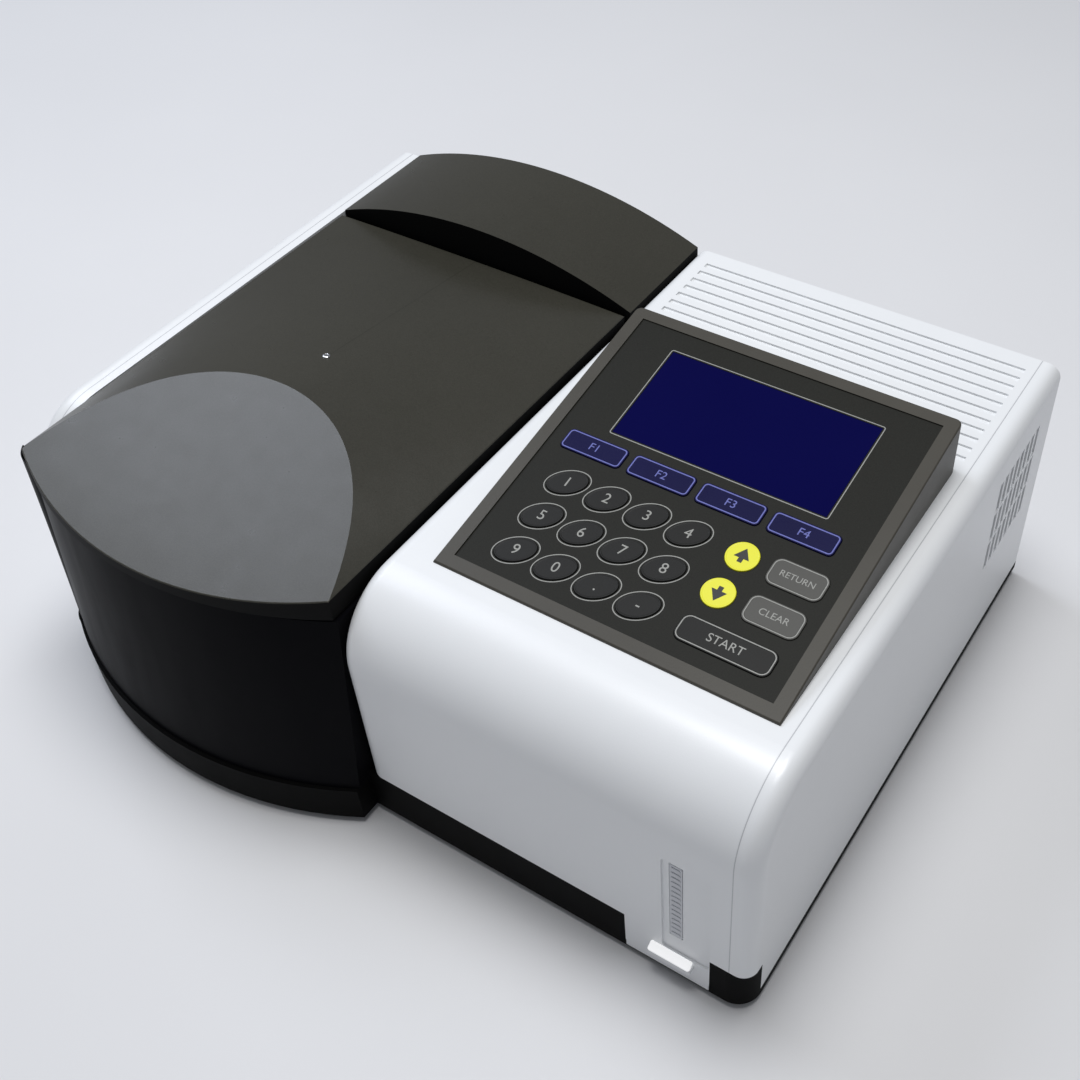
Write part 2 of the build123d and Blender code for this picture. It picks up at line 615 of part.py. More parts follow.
def power_inlet():
    """Mains inlet module: earthed socket, bay for the fuse drawer, bay for the rocker."""
    y_out = REAR_Y + REAR_T
    low = INLET_Z - 24
    high = SWITCH_Z + 12
    body = block(INLET_X - 14, INLET_X + 14, REAR_Y - 22, y_out, low, high)
    body += block(INLET_X - 17, INLET_X + 17, y_out, y_out + FLANGE_T, low - 3, high + 3)
    socket_z = INLET_Z - 10
    body -= block(INLET_X - 12, INLET_X + 12, REAR_Y - 14, Y_B, socket_z - 9, socket_z + 9)
    for dx, dz in ((-7, -1.5), (0, 2.0), (7, -1.5)):
        x = INLET_X + dx
        z = socket_z + dz
        body += block(x - 1, x + 1, REAR_Y - 14.5, REAR_Y - 1, z - 2, z + 2)
    body -= block(INLET_X - 11, INLET_X + 11, REAR_Y - 17, Y_B, INLET_Z + 4, INLET_Z + 18)
    body -= block(
        INLET_X - ROCKER_W / 2 - 0.4, INLET_X + ROCKER_W / 2 + 0.4, REAR_Y - 9, Y_B,
        SWITCH_Z - 10, SWITCH_Z + 10,
    )
    return body


def fuse_drawer():
    """Little drawer over the inlet that holds the two fuses."""
    y_out = REAR_Y + REAR_T + FLANGE_T
    z0 = INLET_Z + 4.3
    z1 = INLET_Z + 17.7
    drawer = block(INLET_X - 10.7, INLET_X + 10.7, REAR_Y - 16, y_out, z0, z1)
    drawer += block(INLET_X - 6, INLET_X + 6, y_out - 0.5, y_out + 1.2, z0 + 1, z0 + 4)
    for side in (-1, 1):
        x = INLET_X + side * 5.2
        drawer -= block(x - 3, x + 3, REAR_Y - 14, REAR_Y, z0 + 3, z1 + 1)
    return drawer


ROCKER_Y = REAR_Y - 2.0


def rocker_switch():
    """Rocker of the mains switch; it tips about a horizontal axis."""
    out = REAR_Y + REAR_T + 3.0 - ROCKER_Y
    side = make_face(Polyline(
        (-2.5, -4.5), (-2.5, 4.5), (2.2, 8.2), (out, 7.0), (out - 2.4, 0),
        (2.4, -7.8), (0.5, -7.6), close=True,
    ))
    plane = Plane(
        origin=(INLET_X - ROCKER_W / 2, ROCKER_Y, SWITCH_Z), x_dir=(0, 1, 0), z_dir=(1, 0, 0)
    )
    return plane * extrude(side, ROCKER_W)


def data_ports():
    """Serial connector and a small host connector on the rear sheet."""
    y_out = REAR_Y + REAR_T
    x = PORT_X[0]
    serial = block(x - 9.4, x + 9.4, REAR_Y - 10, y_out + 3.5, PORT_Z - 4.9, PORT_Z + 4.9)
    serial = fillet(serial.edges().filter_by(Axis.Y), 1.8)
    serial += block(x - 15.5, x + 15.5, y_out, y_out + 1, PORT_Z - 6.3, PORT_Z + 6.3)
    for row, count in ((1.4, 5), (-1.4, 4)):
        for i in range(count):
            pin_x = x + (i - (count - 1) / 2) * 2.77
            serial -= rod(0.6, (pin_x, y_out, PORT_Z + row), (pin_x, y_out + 5, PORT_Z + row))
    x = PORT_X[1]
    host = block(x - 7, x + 7, REAR_Y - 12, y_out + 1.5, PORT_Z - 3.5, PORT_Z + 3.5)
    host -= block(x - 6.2, x + 6.2, REAR_Y - 10, y_out + 2, PORT_Z - 2.6, PORT_Z + 2.6)
    host += block(x - 5.6, x + 5.6, REAR_Y - 10.5, y_out + 0.5, PORT_Z - 0.2, PORT_Z + 1.6)
    return Compound([serial, host])


# ---------------------------------------------------------------- cooling fan
FAN_SIDE = 60.0
FAN_T = 20.0
FAN_X1 = X_R - SKIN - 0.5
FAN_BORE = 27.5


def fan_frame():
    """Square fan housing behind the side outlet, with the motor spider."""
    x0 = FAN_X1 - FAN_T
    half = FAN_SIDE / 2
    frame = block(x0, FAN_X1, FAN_Y - half, FAN_Y + half, FAN_Z - half, FAN_Z + half)
    frame = fillet(frame.edges().filter_by(Axis.X), 4)
    frame -= rod(FAN_BORE, (x0 - 1, FAN_Y, FAN_Z), (FAN_X1 + 1, FAN_Y, FAN_Z))
    spider = rod(10, (x0, FAN_Y, FAN_Z), (x0 + 3, FAN_Y, FAN_Z))
    spider += block(x0, x0 + 2.5, FAN_Y - 1.5, FAN_Y + 1.5, FAN_Z - 28, FAN_Z + 28)
    spider += block(x0, x0 + 2.5, FAN_Y - 28, FAN_Y + 28, FAN_Z - 1.5, FAN_Z + 1.5)
    frame += spider
    frame += rod(1.5, (x0 + 2, FAN_Y, FAN_Z), (x0 + 14, FAN_Y, FAN_Z))
    for dy in (-25, 25):
        for dz in (-25, 25):
            y = FAN_Y + dy
            z = FAN_Z + dz
            frame -= rod(2.1, (x0 - 1, y, z), (FAN_X1 + 1, y, z))
    return frame


def fan_rotor():
    """Seven-bladed rotor on the spider's spindle."""
    x0 = FAN_X1 - FAN_T + 4.0
    depth = 13.0
    hub = rod(11, (x0, FAN_Y, FAN_Z), (x0 + depth, FAN_Y, FAN_Z))
    for i in range(7):
        blade = Pos(depth / 2, 0, 18.0) * (Rot(0, 0, 35) * Box(13, 1.2, 15.5))
        hub += Pos(x0, FAN_Y, FAN_Z) * (Rot(360 / 7 * i, 0, 0) * blade)
    hub -= rod(1.55, (x0 - 1, FAN_Y, FAN_Z), (x0 + 10.5, FAN_Y, FAN_Z))
    return hub


# ---------------------------------------------------------------- optics
BENCH_Z0 = 60.0
BENCH_Z1 = 68.0
LAMP_X = 168.0


def optical_bench():
    """Cast plate on four pillars; it holds the lamps and the monochromator."""
    plate = block(12, 238, -95, 192, BENCH_Z0, BENCH_Z1)
    plate = fillet(plate.edges().filter_by(Axis.Z), 8)
    for x in (26, 224):
        for y in (-80, 176):
            plate += rod(8, (x, y, Z_FLOOR), (x, y, BENCH_Z0 + 1))
    return plate


def lamp_house():
    """Sheet-metal house round the lamps, open to the fan and to the monochromator."""
    house = block(118, 216, 92, 188, BENCH_Z1, 150)
    house -= block(119.5, 214.5, 93.5, 186.5, BENCH_Z1 - 1, 148.5)
    house -= rod(9, (LAMP_X, 90, BEAM_Z), (LAMP_X, 96, BEAM_Z))
    house -= rod(24, (212, FAN_Y, FAN_Z - 5), (218, FAN_Y, FAN_Z - 5))
    for i in range(6):
        house -= block(128 + 14 * i, 134 + 14 * i, 110, 170, 147, 151)
    return house


def halogen_lamp():
    """Tungsten halogen lamp: a quartz bulb in a ceramic base."""
    x = 140.0
    y = 160.0
    lamp = rod(9, (x, y, BENCH_Z1), (x, y, 92))
    lamp += rod(5.5, (x, y, 92), (x, y, 110))
    return lamp + Pos(x, y, 110) * Sphere(5.5)


def deuterium_lamp():
    """Deuterium lamp: a wide quartz envelope on a flanged base."""
    x = 192.0
    y = 160.0
    lamp = rod(17, (x, y, BENCH_Z1), (x, y, 74))
    lamp += rod(13.5, (x, y, 74), (x, y, 130))
    return fillet(lamp.faces().sort_by(Axis.Z)[-1].edges(), 6)


def lamp_mirror():
    """Swivelling mirror that picks one of the two lamps."""
    y = 118.0
    mount = rod(6, (LAMP_X, y, BENCH_Z1 + 0.2), (LAMP_X, y, 90))
    mount += block(LAMP_X - 12, LAMP_X + 12, y - 2, y + 2, 89, 121)
    return mount


WHEEL_Y = 78.0
WHEEL_X = LAMP_X + 20.0


def filter_wheel():
    """Wheel of six order-sorting filters."""
    wheel = rod(30, (WHEEL_X, WHEEL_Y, BEAM_Z), (WHEEL_X, WHEEL_Y + 4, BEAM_Z))
    for i in range(6):
        angle = radians(60 * i + 180)
        x = WHEEL_X + 20 * cos(angle)
        z = BEAM_Z + 20 * sin(angle)
        wheel -= rod(6, (x, WHEEL_Y - 1, z), (x, WHEEL_Y + 5, z))
    wheel += rod(5, (WHEEL_X, WHEEL_Y - 8, BEAM_Z), (WHEEL_X, WHEEL_Y + 1, BEAM_Z))
    wheel -= rod(2.05, (WHEEL_X, WHEEL_Y - 9, BEAM_Z), (WHEEL_X, WHEEL_Y + 5, BEAM_Z))
    return wheel


def stepper_motors():
    """Two stepper motors: one behind the tub, one whose shaft carries the filter wheel."""
    y = WELL_Y1 + SKIN
    stage = block(CARRIAGE_X - 21, CARRIAGE_X + 21, y, y + 34, 66, 108)
    stage = chamfer(stage.edges().filter_by(Axis.Y), 4)
    stage += rod(5, (CARRIAGE_X, y + 34, 87), (CARRIAGE_X, y + 40, 87))
    y0 = WHEEL_Y - 32.0
    y1 = WHEEL_Y - 9.0
    wheel = rod(14, (WHEEL_X, y0, BEAM_Z), (WHEEL_X, y1, BEAM_Z))
    wheel += rod(2, (WHEEL_X, y1 - 1, BEAM_Z), (WHEEL_X, WHEEL_Y + 4, BEAM_Z))
    wheel += block(WHEEL_X - 16, WHEEL_X + 16, y0, y0 + 3, BENCH_Z1, BEAM_Z)
    return Compound([stage, wheel])


def bench_mirrors():
    """Collimating and focusing mirrors, each in a yoke on the bench."""
    group = []
    for x, y, turn in ((LAMP_X, -66.0, 25.0), (52.0, BEAM_Y, -45.0)):
        yoke = Pos(0, 0, BENCH_Z1 + 4) * Box(34, 14, 8)
        yoke += Pos(0, 3, BENCH_Z1 + 27) * Box(34, 4, 54)
        yoke += Plane(origin=(0, 1.5, BEAM_Z), z_dir=(0, -1, 0)) * extrude(Circle(15), 4)
        group.append(Pos(x, y, 0) * (Rot(0, 0, turn) * yoke))
    return Compound(group)


GRATING_X = 100.0
GRATING_Y = 45.0


def grating_table():
    """Turning table of the monochromator with the ruled grating standing on it."""
    table = rod(18, (GRATING_X, GRATING_Y, BENCH_Z1 + 0.3), (GRATING_X, GRATING_Y, 78))
    table += block(GRATING_X - 15, GRATING_X + 15, GRATING_Y, GRATING_Y + 7, 77, 122)
    return table


def detector():
    """Silicon detector in a screened block on the outside of the tub."""
    x1 = WELL_X0 - SKIN
    body = block(x1 - 20, x1, BEAM_Y - 18, BEAM_Y + 18, BEAM_Z - 18, BEAM_Z + 18)
    body = chamfer(body.edges().filter_by(Axis.X), 3)
    return body - rod(6, (x1 - 8, BEAM_Y, BEAM_Z), (x1 + 1, BEAM_Y, BEAM_Z))


# ---------------------------------------------------------------- electronics
# chips and other blocks on the main board: x, y, width, depth, height
BOARD_CHIPS = (
    (60, -40, 26, 26, 3), (110, -30, 30, 14, 3), (160, 30, 40, 16, 14), (70, 50, 20, 20, 9),
)


def main_board():
    """Main circuit board on spacers, under the optical bench."""
    board = block(40, 210, -60, 90, 14, 15.6)
    for x in (46, 204):
        for y in (-54, 84):
            board += rod(3, (x, y, Z_FLOOR), (x, y, 14.5))
    for x, y, w, d, h in BOARD_CHIPS:
        board += block(x, x + w, y, y + d, 15.5, 15.6 + h)
    return board


def power_supply():
    """Switching supply in a perforated box under the rear hood."""
    x0 = -95.0
    supply = block(x0, x0 + 88, 85, 175, Z_FLOOR, 55)
    for i in range(7):
        supply -= block(x0 + 8 + 11 * i, x0 + 13 + 11 * i, 95, 165, 50, 56)
    return supply


# ---------------------------------------------------------------- feet and screws
FOOT_R = 11.0
FOOT_AT = [(-215, -130), (215, -135), (-215, 175), (215, 175), (X_MID, -175)]


def feet():
    """Rubber feet, one near each corner and one under the nose."""
    group = []
    for x, y in FOOT_AT:
        foot = rod(FOOT_R, (x, y, 0), (x, y, FOOT_H))
        group.append(chamfer(foot.faces().sort_by(Axis.Z)[0].edges(), 1.5))
    return Compound(group)


def case_screws():
    """Pan-head screws of the rear sheet."""
    group = []
    y = REAR_Y + REAR_T
    for x in (-236, -120, 18, 120, 236):
        for z in (20, 150):
            head = rod(3.2, (x, y, z), (x, y + 2, z))
            head -= block(x - 2.4, x + 2.4, y + 1, y + 3, z - 0.4, z + 0.4)
            head -= block(x - 0.4, x + 0.4, y + 1, y + 3, z - 2.4, z + 2.4)
            group.append(head)
    return Compound(group)


# ---------------------------------------------------------------- write every node
single_nodes = [
    base_pan, main_cover, left_side_panel, rear_panel, compartment_front, compartment_deck,
    sample_tub, rear_hood, lid, lid_seal, hinge_brackets, hinge_pins, cell_carriage,
    carriage_rails, panel_bezel, panel_fascia, display_window, lcd_module,
    panel_board, power_inlet, fuse_drawer, rocker_switch, data_ports, fan_frame,
    fan_rotor, optical_bench, lamp_house, halogen_lamp, deuterium_lamp, lamp_mirror,
    filter_wheel, stepper_motors, bench_mirrors, grating_table, detector, main_board,
    power_supply, feet, case_screws,
]
for make in single_nodes:
    save(make(), make.__name__)
for name, x, s, outline in key_shapes():
    save(PANEL * (Pos(x, s, 0) * key(outline)), name)
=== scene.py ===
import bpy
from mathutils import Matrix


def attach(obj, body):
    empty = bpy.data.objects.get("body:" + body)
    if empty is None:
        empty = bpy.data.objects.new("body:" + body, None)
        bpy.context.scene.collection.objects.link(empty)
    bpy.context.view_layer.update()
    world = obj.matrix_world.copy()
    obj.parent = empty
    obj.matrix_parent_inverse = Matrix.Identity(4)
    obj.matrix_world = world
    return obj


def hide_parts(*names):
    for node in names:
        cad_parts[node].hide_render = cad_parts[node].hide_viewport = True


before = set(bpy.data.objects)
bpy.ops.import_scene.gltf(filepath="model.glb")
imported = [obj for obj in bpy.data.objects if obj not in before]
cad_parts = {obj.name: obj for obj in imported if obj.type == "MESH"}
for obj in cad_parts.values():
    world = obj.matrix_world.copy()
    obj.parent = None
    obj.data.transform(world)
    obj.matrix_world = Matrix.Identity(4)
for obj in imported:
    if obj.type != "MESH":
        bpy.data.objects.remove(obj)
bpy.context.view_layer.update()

from math import atan2, cos, radians, sin

import bmesh
import bpy
from mathutils import Matrix, Vector

# ------------------------------------------------------------------ white casings
# Two injection-moulded casings, the wide one over the electronics and the narrow one at
# the left. Off-white ABS with a spark-eroded texture too fine to feel, rubbed a little
# smoother in patches; the parting line of the mould runs round both near the outer edge.
MM = 0.001


class Signal:
    """One value inside a material; arithmetic on it adds Math nodes."""

    def __init__(self, coat, socket):
        self.coat = coat
        self.socket = socket

    def math(self, operation, a, b):
        return self.coat.node("ShaderNodeMath", {"operation": operation}, {0: a, 1: b})

    def __add__(self, other):
        return self.math("ADD", self, other)

    def __sub__(self, other):
        return self.math("SUBTRACT", self, other)

    def __mul__(self, other):
        return self.math("MULTIPLY", self, other)

    def __rsub__(self, other):
        return self.math("SUBTRACT", other, self)

    def __gt__(self, other):
        return self.math("GREATER_THAN", self, other)

    def __lt__(self, other):
        return self.math("LESS_THAN", self, other)

    def size(self):
        return self.math("ABSOLUTE", self, 0.0)

    __radd__ = __add__
    __rmul__ = __mul__


class Coat:
    """A finish under construction: a Principled shader and the nodes that feed it."""

    def __init__(self, name, colour, roughness, **constant):
        self.material = bpy.data.materials.new(name)
        self.material.use_nodes = True
        self.tree = self.material.node_tree
        self.shader = self.tree.nodes["Principled BSDF"]
        self.shader.inputs["Base Color"].default_value = (*colour, 1)
        self.shader.inputs["Roughness"].default_value = roughness
        for socket, value in constant.items():
            self.shader.inputs[socket.replace("_", " ")].default_value = value
        self.spot = self.node("ShaderNodeTexCoord", output="Object")

    def node(self, kind, settings=None, inputs=None, output=0):
        made = self.tree.nodes.new(kind)
        for key, value in (settings or {}).items():
            setattr(made, key, value)
        for key, value in (inputs or {}).items():
            if isinstance(value, Signal):
                self.tree.links.new(value.socket, made.inputs[key])
            else:
                made.inputs[key].default_value = value
        return Signal(self, made.outputs[output])

    def feed(self, socket, signal):
        self.tree.links.new(signal.socket, self.shader.inputs[socket])

    def axis(self, letter):
        """Where the surface lies along one axis, in metres."""
        return self.node("ShaderNodeSeparateXYZ", None, {"Vector": self.spot}, letter)

    def noise(self, scale, detail=3.0, stretch=(1, 1, 1)):
        """Noise from 0 to 1, with its cells per metre, stretched along an axis if asked."""
        place = self.node("ShaderNodeMapping", None, {"Vector": self.spot, "Scale": stretch})
        return self.node(
            "ShaderNodeTexNoise", None, {"Vector": place, "Scale": scale, "Detail": detail}
        )

    def blend(self, amount, first, second):
        """A colour that goes from the first to the second with amount."""
        return self.node(
            "ShaderNodeMix", {"data_type": "RGBA"},
            {"Factor": amount, "A": first, "B": second}, output="Result",
        )

    def tint(self, amount, low, high):
        self.feed("Base Color", self.blend(amount, (*low, 1), (*high, 1)))

    def relief(self, height, depth, strength=1.0):
        """Fine surface relief of a given depth in metres."""
        bump = self.node(
            "ShaderNodeBump", None, {"Height": height, "Distance": depth, "Strength": strength}
        )
        self.feed("Normal", bump)


def moulded(name, low, high, roughness, spread, grain, depth, **constant):
    """Moulded plastic: even colour, faint flow clouds, a fine eroded texture."""
    coat = Coat(name, low, roughness, **constant)
    clouds = coat.noise(9.0, 4.0)
    scuffs = coat.noise(60.0, 6.0, (1, 1, 0.4))
    coat.tint(clouds * 0.7 + scuffs * 0.3, low, high)
    coat.feed("Roughness", scuffs * spread + (roughness - spread / 2))
    coat.relief(coat.noise(grain, 2.0), depth)
    return coat.material


def dress(material, *nodes):
    """Gives CAD nodes their finish."""
    for name in nodes:
        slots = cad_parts[name].data.materials
        slots.clear()
        slots.append(material)


PARTING_X = 237.7 * MM          # from the middle of the instrument, to either side
PARTING_W = 0.28 * MM           # half the width of the parting line
CASING = Coat("casing_white", (0.82, 0.83, 0.84), 0.34, Coat_Weight=0.2, Coat_Roughness=0.2)
clouds = CASING.noise(9.0, 4.0)
scuffs = CASING.noise(60.0, 6.0, (1, 1, 0.4))
from_middle = CASING.axis("X").size()
parting = (from_middle - PARTING_X).size() < PARTING_W
plain = CASING.blend(clouds * 0.7 + scuffs * 0.3, (0.79, 0.805, 0.82, 1), (0.84, 0.85, 0.86, 1))
CASING.feed("Base Color", CASING.blend(parting * 0.55, plain, (0.30, 0.31, 0.33, 1)))
CASING.feed("Roughness", scuffs * 0.10 + 0.29)
CASING.relief(CASING.noise(1500.0, 2.0) * 0.1 - parting, 0.0003)
dress(CASING.material, "main_cover", "left_side_panel")

# ------------------------------------------------------------------ base pan and feet
# A black ABS pan that the whole instrument is built up in, with a high band at the
# front; five rubber feet are pushed into it.
PAN = moulded(
    "pan_black", (0.002, 0.002, 0.002), (0.005, 0.005, 0.005), 0.55, 0.12, 1300, 0.00004,
    Specular_IOR_Level=0.03,
)
RUBBER = moulded(
    "rubber_black", (0.018, 0.018, 0.018), (0.032, 0.031, 0.03), 0.75, 0.15, 900, 0.00006
)
dress(PAN, "base_pan")
dress(RUBBER, "feet")

# ------------------------------------------------------------------ nose of the sample bay
# Bowed front moulding in black with a soft satin face; it has the slight waviness of
# its mould and fine upright wiping marks.
NOSE = Coat("nose_black", (0.003, 0.003, 0.004), 0.42, Specular_IOR_Level=0.02)
wipes = NOSE.noise(70.0, 8.0, (1, 1, 0.15))
NOSE.feed("Roughness", wipes * 0.16 + 0.32)
NOSE.tint(NOSE.noise(14.0, 3.0), (0.002, 0.002, 0.003), (0.005, 0.005, 0.006))
NOSE.relief(NOSE.noise(35.0, 1.0), 0.00012)
dress(NOSE.material, "compartment_front")

# ------------------------------------------------------------------ sample bay
# Deck, well tub and hinge brackets in matt black, so that no stray light reaches the
# beam; a foam gasket lies round the well's mouth.
DECK = moulded(
    "deck_black", (0.012, 0.012, 0.012), (0.022, 0.022, 0.021), 0.62, 0.12, 900, 0.00008
)
FOAM = Coat("foam_black", (0.022, 0.022, 0.022), 0.95)
cells = FOAM.node("ShaderNodeTexVoronoi", None, {"Vector": FOAM.spot, "Scale": 1400.0})
FOAM.tint(cells, (0.010, 0.010, 0.010), (0.035, 0.035, 0.034))
FOAM.relief(cells, 0.0003)
dress(DECK, "compartment_deck", "sample_tub", "hinge_brackets")
dress(FOAM.material, "lid_seal")

# ------------------------------------------------------------------ lid and rear hood
# Thin crowned mouldings with a dark warm-grey lacquer that holds a very fine metal
# flake; the lid has a flat facet cut across its front and a faint fold along its middle,
# whose shade is painted as a thin darker line.
# The upright edges are painted near-black as shade, with a second, dull shader in place of the
# lacquer.
FOLD_X = -0.1155                # the fold along the middle of the lid
FOLD_W = 0.0003                 # half its width
FOLD_Y = (-0.021, 0.119)        # its front and rear ends
PAINTED_SHADE_SLOPE = 0.3                # a surface that faces up less than this counts as an edge
LACQUER = Coat("lid_lacquer", (0.05, 0.046, 0.034), 0.30, Specular_IOR_Level=0.42)
flake = LACQUER.node(
    "ShaderNodeTexVoronoi", None, {"Vector": LACQUER.spot, "Scale": 2600.0}, "Color"
)
sparkle = LACQUER.node("ShaderNodeSeparateColor", None, {"Color": flake})
haze = LACQUER.noise(6.0, 4.0)
along = LACQUER.axis("Y")
# A thin darker line along the fold: painted shade.
fold_shade_line = (LACQUER.axis("X") - FOLD_X).size() < FOLD_W
fold_shade_line = fold_shade_line * (along > FOLD_Y[0]) * (along < FOLD_Y[1])
facing = LACQUER.node("ShaderNodeTexCoord", output="Normal")
# Faces that face up less than this slope are taken for the edges in shade.
edge = LACQUER.node("ShaderNodeSeparateXYZ", None, {"Vector": facing}, "Z") < PAINTED_SHADE_SLOPE
LACQUER.tint(
    sparkle * 0.35 + haze * 0.4 - fold_shade_line * 0.3, (0.024, 0.023, 0.017), (0.060, 0.057, 0.045)
)
LACQUER.feed("Roughness", LACQUER.noise(80.0, 6.0) * 0.08 + 0.25)
# A near-black, dull shader: painted shade for the upright edges, in place of the lacquer.
painted_shade_shader = LACQUER.node("ShaderNodeBsdfPrincipled", None, {
    "Base Color": (0.005, 0.005, 0.005, 1), "Roughness": 0.6, "Specular IOR Level": 0.05,
})
lacquered = Signal(LACQUER, LACQUER.shader.outputs[0])
both = LACQUER.node("ShaderNodeMixShader", None, {0: edge, 1: lacquered, 2: painted_shade_shader})
LACQUER.tree.links.new(both.socket, LACQUER.tree.nodes["Material Output"].inputs["Surface"])
LACQUER.relief(LACQUER.noise(1100.0, 2.0), 0.00002)
dress(LACQUER.material, "lid", "rear_hood")

# ------------------------------------------------------------------ cell carriage
# Milled aluminium carriage, black anodised, on two ground steel rods; the filter wheel
# and the detector's housing have the same finish. The hinge pins and the screws are
# bright steel like the rods.
ANODISED = Coat("alu_black", (0.06, 0.06, 0.064), 0.38, Metallic=0.7)
brushed = ANODISED.noise(500.0, 4.0, (0.06, 1, 1))
ANODISED.feed("Roughness", brushed * 0.2 + 0.28)
ANODISED.tint(brushed, (0.05, 0.05, 0.053), (0.11, 0.11, 0.115))
STEEL = Coat("steel_bright", (0.60, 0.60, 0.61), 0.25, Metallic=1.0)
ground = STEEL.noise(900.0, 4.0, (1, 0.05, 1))
STEEL.feed("Roughness", ground * 0.22 + 0.14)
STEEL.tint(ground, (0.50, 0.50, 0.51), (0.68, 0.68, 0.69))
dress(ANODISED.material, "cell_carriage", "filter_wheel", "detector")
dress(STEEL.material, "carriage_rails", "hinge_pins", "case_screws")

# ------------------------------------------------------------------ rear sheet and sockets
# Folded steel with a fine textured powder coat; the mains module, fan and connectors
# are snapped or screwed into it. Boxes and brackets inside are zinc-plated sheet.
POWDER = Coat("sheet_grey", (0.36, 0.37, 0.38), 0.55)
orange_peel = POWDER.noise(700.0, 3.0)
POWDER.tint(POWDER.noise(12.0), (0.32, 0.33, 0.34), (0.40, 0.41, 0.42))
POWDER.feed("Roughness", orange_peel * 0.15 + 0.45)
POWDER.relief(orange_peel, 0.00015)
PLUG_BLACK = moulded(
    "socket_black", (0.012, 0.012, 0.012), (0.022, 0.022, 0.022), 0.45, 0.1, 1200, 0.00003
)
ZINC = Coat("tray_metal", (0.55, 0.56, 0.57), 0.35, Metallic=1.0)
spangle = ZINC.node("ShaderNodeTexVoronoi", None, {"Vector": ZINC.spot, "Scale": 160.0})
ZINC.tint(spangle, (0.46, 0.47, 0.49), (0.64, 0.65, 0.66))
ZINC.feed("Roughness", ZINC.noise(200.0) * 0.2 + 0.25)
dress(POWDER.material, "rear_panel")
dress(PLUG_BLACK, "power_inlet", "fuse_drawer", "rocker_switch", "fan_frame", "fan_rotor")
dress(ZINC.material, "data_ports", "lcd_module", "lamp_house", "power_supply", "stepper_motors")

# ------------------------------------------------------------------ optics and boards
# Inside the casing: a cast aluminium plate carries quartz lamps, a grating and mirrors
# with a vacuum-deposited coat. The boards are green glass-fibre with etched tracks.
CAST = moulded(
    "alu_cast", (0.42, 0.42, 0.42), (0.55, 0.55, 0.55), 0.55, 0.2, 500, 0.0002, Metallic=1.0
)
QUARTZ = Coat("quartz", (0.92, 0.94, 0.96), 0.05, Transmission_Weight=0.9, IOR=1.46)
QUARTZ.feed("Roughness", QUARTZ.noise(40.0) * 0.08)
SILVERED = Coat("mirror_coat", (0.86, 0.87, 0.88), 0.06, Metallic=1.0)
SILVERED.feed("Roughness", SILVERED.noise(25.0) * 0.10 + 0.02)
BOARD = Coat("board_green", (0.01, 0.09, 0.035), 0.35)
tracks = BOARD.node(
    "ShaderNodeTexBrick", None, {"Vector": BOARD.spot, "Scale": 60.0, "Mortar Size": 0.03}, "Fac"
)
BOARD.tint(tracks, (0.008, 0.07, 0.03), (0.03, 0.17, 0.06))
BOARD.feed("Roughness", BOARD.noise(300.0) * 0.15 + 0.25)
dress(CAST, "optical_bench")
dress(QUARTZ.material, "halogen_lamp", "deuterium_lamp")
dress(SILVERED.material, "lamp_mirror", "bench_mirrors", "grating_table")
dress(BOARD.material, "panel_board", "main_board")

# ------------------------------------------------------------------ bezel of the panel
# A wedge-shaped frame moulded in brown-grey; a printed fascia film lies in it, 0.8 mm
# below the rim. Thin light lines are printed round the screen and round the digit keys.
BEZEL = moulded(
    "bezel_grey", (0.046, 0.042, 0.034), (0.075, 0.070, 0.058), 0.42, 0.10, 1200, 0.00004,
    Specular_IOR_Level=0.25,
)
dress(BEZEL, "panel_bezel")
FILM = Coat("fascia_print", (0.02, 0.02, 0.017), 0.5, Specular_IOR_Level=0.12)
grain = FILM.noise(1600.0, 2.0)
FILM.tint(grain * 0.8 + FILM.noise(8.0) * 0.2, (0.006, 0.006, 0.005), (0.028, 0.028, 0.023))
FILM.feed("Roughness", grain * 0.2 + 0.42)
FILM.relief(grain, 0.00006)
dress(FILM.material, "panel_fascia")

PANEL_CORNER = (0.028, -0.110, 0.1775)      # front left corner of the rim
TILT = atan2(33.5, 202.0)       # the panel's rise over its run
PANEL = Matrix.Translation(PANEL_CORNER) @ Matrix.Rotation(TILT, 4, "X")
FILM_TOP = -0.8 * MM            # the film's face, below the rim
INK_T = 0.04 * MM               # thickness of screen-printed ink


def outline(width, height, corner, turn=0.0):
    """A flat face: a rectangle with rounded corners, or an ellipse if corner is None."""
    flat = bmesh.new()
    if corner is None:
        bmesh.ops.create_circle(flat, cap_ends=True, segments=56, radius=0.5)
    else:
        bmesh.ops.create_grid(flat, x_segments=1, y_segments=1, size=0.5)
    bmesh.ops.scale(flat, vec=(width * MM, height * MM, 1), verts=flat.verts)
    if corner is not None:
        bmesh.ops.bevel(
            flat, geom=flat.verts[:], offset=corner * MM, segments=6, profile=0.5,
            affect="VERTICES", material=-1,
        )
    bmesh.ops.rotate(flat, matrix=Matrix.Rotation(radians(turn), 3, "Z"), verts=flat.verts)
    bmesh.ops.recalc_face_normals(flat, faces=flat.faces)
    if flat.faces[:][0].normal.z < 0:
        bmesh.ops.reverse_faces(flat, faces=flat.faces)
    return flat


def step(shape, face, inward, rise, finish=0):
    """Sets a face in from its edge and lifts it; the new faces round it get a finish."""
    sides = bmesh.ops.inset_region(
        shape, faces=[face], thickness=inward * MM, depth=rise * MM,
        use_even_offset=True, use_boundary=True,
    )["faces"]
    for side in sides:
        side.material_index = finish


def lifted(shape, faces, height, keep=False):
    """Extrudes faces upwards, in metres, and gives back the ones at the top."""
    grown = bmesh.ops.extrude_face_region(shape, geom=faces, use_keep_orig=keep)["geom"]
    corners = [part for part in grown if isinstance(part, bmesh.types.BMVert)]
    bmesh.ops.translate(shape, vec=(0, 0, height), verts=corners)
    return [part for part in grown if isinstance(part, bmesh.types.BMFace)]


